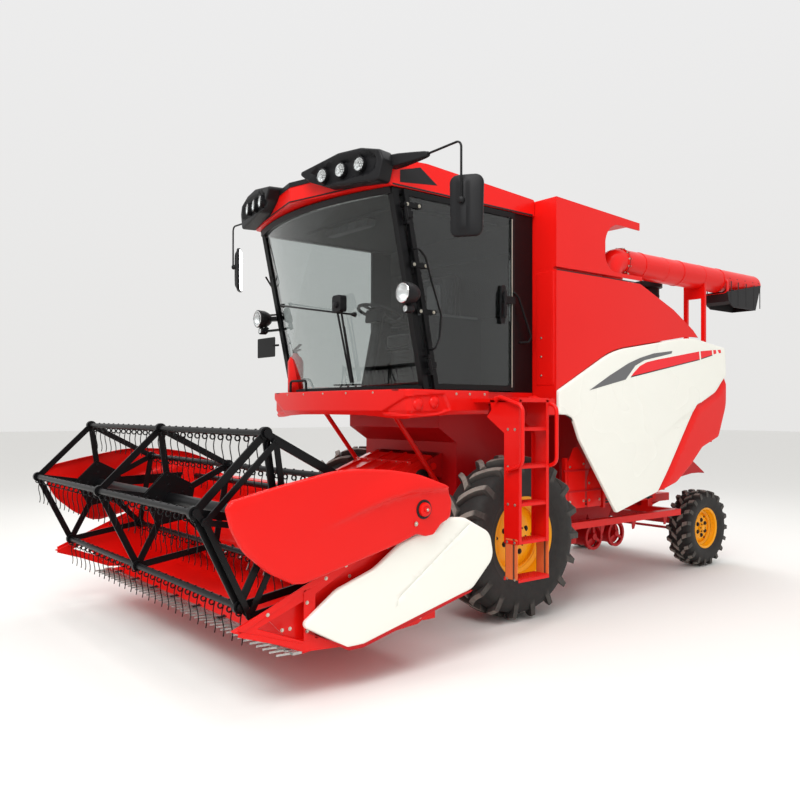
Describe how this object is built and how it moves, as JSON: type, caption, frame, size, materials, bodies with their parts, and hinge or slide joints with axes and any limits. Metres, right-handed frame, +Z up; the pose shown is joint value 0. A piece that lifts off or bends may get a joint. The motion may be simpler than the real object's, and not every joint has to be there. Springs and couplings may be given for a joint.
{
  "type": "combine harvester",
  "caption": "Self-propelled combine harvester: glazed cab, cutting header with tined reel, grain tank, folding unloading tube and steered rear wheels.",
  "frame": {"origin": "bottom centre of the bounding box, on the ground", "axes": "+Z up, +Y towards the rear of the machine, +X towards its left, where the ladder and the cab door are"},
  "size_m": [3.49, 6.6545, 3.527],
  "materials": {
    "red_paint": "gloss",
    "dark_red_paint": "satin",
    "white_paint": "gloss",
    "black_paint": "satin",
    "yellow_paint": "gloss",
    "bare_steel": "satin",
    "cast_iron": "matte",
    "tyre_rubber": "matte",
    "black_plastic": "matte",
    "black_rubber": "matte",
    "orange_strap": "matte",
    "tinted_glass": "gloss",
    "lamp_lens": "gloss",
    "seat_fabric": "matte"
  },
  "bodies": {
    "root": {"air_intake": "black_plastic", "auger_riser": "red_paint", "cab_bumper": "red_paint", "cab_floor": "red_paint", "cab_frame": "black_paint", "cab_glass": "tinted_glass", "cab_roof": "red_paint", "chassis_frame": "red_paint", "driver_seat": "seat_fabric", "engine_block": "cast_iron", "front_axle": "dark_red_paint", "grain_tank": "red_paint", "ladder": "red_paint", "lamps": "lamp_lens", "lower_housings": "dark_red_paint", "lower_step": "orange_strap", "mirrors": "black_plastic", "rear_axle": "dark_red_paint", "rear_hood": "red_paint", "roof_visor": "black_plastic", "steering_console": "black_plastic", "straw_deflector": "dark_red_paint", "tank_roof": "red_paint", "threshing_body": "dark_red_paint", "upper_side_panels": "red_paint"},
    "header": {"feeder_house": "red_paint", "header_table": "red_paint", "crop_dividers": "red_paint", "cutterbar": "bare_steel", "drive_cover": "white_paint"},
    "table_auger": {"header_auger": "red_paint"},
    "reel_carrier": {"reel_arms": "black_paint", "reel_shields": "red_paint"},
    "reel": {"reel_frame": "black_paint"},
    "reel_star": {"reel_eccentric": "black_paint"},
    "unloader": {"unloading_tube": "red_paint", "unloading_spout": "black_rubber"},
    "left_cab_door": {"cab_door": "black_paint", "door_glass": "tinted_glass"},
    "left_side_door": {"side_door_left": "white_paint"},
    "right_side_door": {"side_door_right": "white_paint"},
    "roof_hatch": {"tank_hatch": "red_paint"},
    "left_front_wheel": {"front_left_tyre": "tyre_rubber", "front_left_rim": "yellow_paint"},
    "right_front_wheel": {"front_right_tyre": "tyre_rubber", "front_right_rim": "yellow_paint"},
    "left_rear_wheel": {"rear_left_tyre": "tyre_rubber", "rear_left_rim": "yellow_paint"},
    "right_rear_wheel": {"rear_right_tyre": "tyre_rubber", "rear_right_rim": "yellow_paint"},
    "left_knuckle": {"rear_left_knuckle": "dark_red_paint"},
    "right_knuckle": {"rear_right_knuckle": "dark_red_paint"},
    "steering_tie_rod": {"tie_rod": "dark_red_paint"},
    "lift_barrel_pair": {"lift_barrels": "dark_red_paint"},
    "lift_rod_pair": {"lift_rods": "bare_steel"},
    "bat_1": {"reel_bat_1": "black_paint"},
    "bat_2": {"reel_bat_2": "black_paint"},
    "bat_3": {"reel_bat_3": "black_paint"},
    "bat_4": {"reel_bat_4": "black_paint"},
    "bat_5": {"reel_bat_5": "black_paint"}
  },
  "joints": [
    {"name": "header_lift", "type": "hinge", "parent": "root", "child": "header", "pos_m": [0, -0.69266, 1.18], "axis": [-1, 0, 0], "range_deg": [-6.6, 14]},
    {"name": "table_auger_spin", "type": "hinge", "parent": "header", "child": "table_auger", "pos_m": [0, -1.98266, 0.612], "axis": [1, 0, 0], "continuous": true},
    {"name": "reel_lift", "type": "hinge", "parent": "header", "child": "reel_carrier", "pos_m": [0, -1.86966, 1.032], "axis": [-1, 0, 0], "range_deg": [0, 24]},
    {"name": "reel_spin", "type": "hinge", "parent": "reel_carrier", "child": "reel", "pos_m": [0, -2.79066, 1.012], "axis": [1, 0, 0], "continuous": true},
    {"name": "reel_star_spin", "type": "hinge", "parent": "reel_carrier", "child": "reel_star", "pos_m": [1.533, -2.74566, 0.962], "axis": [1, 0, 0], "continuous": true},
    {"name": "bat_1_turn", "type": "hinge", "parent": "reel", "child": "bat_1", "pos_m": [0, -2.86318, 1.51278], "axis": [1, 0, 0], "continuous": true},
    {"name": "bat_2_turn", "type": "hinge", "parent": "reel", "child": "bat_2", "pos_m": [0, -3.28934, 1.09778], "axis": [1, 0, 0], "continuous": true},
    {"name": "bat_3_turn", "type": "hinge", "parent": "reel", "child": "bat_3", "pos_m": [0, -3.02634, 0.56424], "axis": [1, 0, 0], "continuous": true},
    {"name": "bat_4_turn", "type": "hinge", "parent": "reel", "child": "bat_4", "pos_m": [0, -2.43764, 0.64949], "axis": [1, 0, 0], "continuous": true},
    {"name": "bat_5_turn", "type": "hinge", "parent": "reel", "child": "bat_5", "pos_m": [0, -2.33681, 1.23572], "axis": [1, 0, 0], "continuous": true},
    {"name": "unloader_swing", "type": "hinge", "parent": "root", "child": "unloader", "pos_m": [1.05, 0.83734, 2.805], "axis": [0, 0, -1], "range_deg": [0, 95]},
    {"name": "cab_door_swing", "type": "hinge", "parent": "root", "child": "left_cab_door", "pos_m": [0.992, -1.31666, 2.5225], "axis": [0, 0.207, -0.9783], "range_deg": [0, 70]},
    {"name": "left_side_door_lift", "type": "hinge", "parent": "root", "child": "left_side_door", "pos_m": [1.175, 1.40734, 2.29639], "axis": [0, -0.9888, -0.1496], "range_deg": [0, 60]},
    {"name": "right_side_door_lift", "type": "hinge", "parent": "root", "child": "right_side_door", "pos_m": [-1.175, 1.40734, 2.29639], "axis": [0, 0.9888, 0.1496], "range_deg": [0, 60]},
    {"name": "roof_hatch_lift", "type": "hinge", "parent": "root", "child": "roof_hatch", "pos_m": [0, 0.15234, 3.38864], "axis": [1, 0, 0], "range_deg": [0, 80]},
    {"name": "left_front_wheel_spin", "type": "hinge", "parent": "root", "child": "left_front_wheel", "pos_m": [0.9975, -0.36266, 0.643], "axis": [1, 0, 0], "continuous": true},
    {"name": "right_front_wheel_spin", "type": "hinge", "parent": "root", "child": "right_front_wheel", "pos_m": [-0.9975, -0.36266, 0.643], "axis": [1, 0, 0], "continuous": true},
    {"name": "left_steer", "type": "hinge", "parent": "root", "child": "left_knuckle", "pos_m": [0.54, 2.80434, 0.401], "axis": [0, 0, 1], "range_deg": [-38, 38]},
    {"name": "right_steer", "type": "hinge", "parent": "root", "child": "right_knuckle", "pos_m": [-0.54, 2.80434, 0.401], "axis": [0, 0, 1], "range_deg": [-38, 38]},
    {"name": "tie_rod_turn", "type": "hinge", "parent": "left_knuckle", "child": "steering_tie_rod", "pos_m": [0.54, 2.95434, 0.33], "axis": [0, 0, 1], "range_deg": [-38, 38]},
    {"name": "left_rear_wheel_spin", "type": "hinge", "parent": "left_knuckle", "child": "left_rear_wheel", "pos_m": [0.74, 2.80434, 0.401], "axis": [1, 0, 0], "continuous": true},
    {"name": "right_rear_wheel_spin", "type": "hinge", "parent": "right_knuckle", "child": "right_rear_wheel", "pos_m": [-0.74, 2.80434, 0.401], "axis": [1, 0, 0], "continuous": true},
    {"name": "lift_barrel_turn", "type": "hinge", "parent": "root", "child": "lift_barrel_pair", "pos_m": [0, -0.40266, 0.47], "axis": [-1, 0, 0], "range_deg": [-5.27, 10.63]},
    {"name": "lift_rod_slide", "type": "slide", "parent": "lift_barrel_pair", "child": "lift_rod_pair", "axis": [0, -0.9993, -0.0365], "range_m": [-0.084, 0.1748]}
  ],
  "couplings": [
    {"joint": "reel_star_spin", "follows": "reel_spin", "ratio": 1},
    {"joint": "bat_1_turn", "follows": "reel_spin", "ratio": -1},
    {"joint": "bat_2_turn", "follows": "reel_spin", "ratio": -1},
    {"joint": "bat_3_turn", "follows": "reel_spin", "ratio": -1},
    {"joint": "bat_4_turn", "follows": "reel_spin", "ratio": -1},
    {"joint": "bat_5_turn", "follows": "reel_spin", "ratio": -1},
    {"joint": "right_steer", "follows": "left_steer", "ratio": 1},
    {"joint": "tie_rod_turn", "follows": "left_steer", "ratio": -1},
    {"joint": "lift_barrel_turn", "follows": "header_lift", "ratio": 0.72338},
    {"joint": "lift_rod_slide", "follows": "header_lift", "m_per_rad": 0.7029}
  ]
}
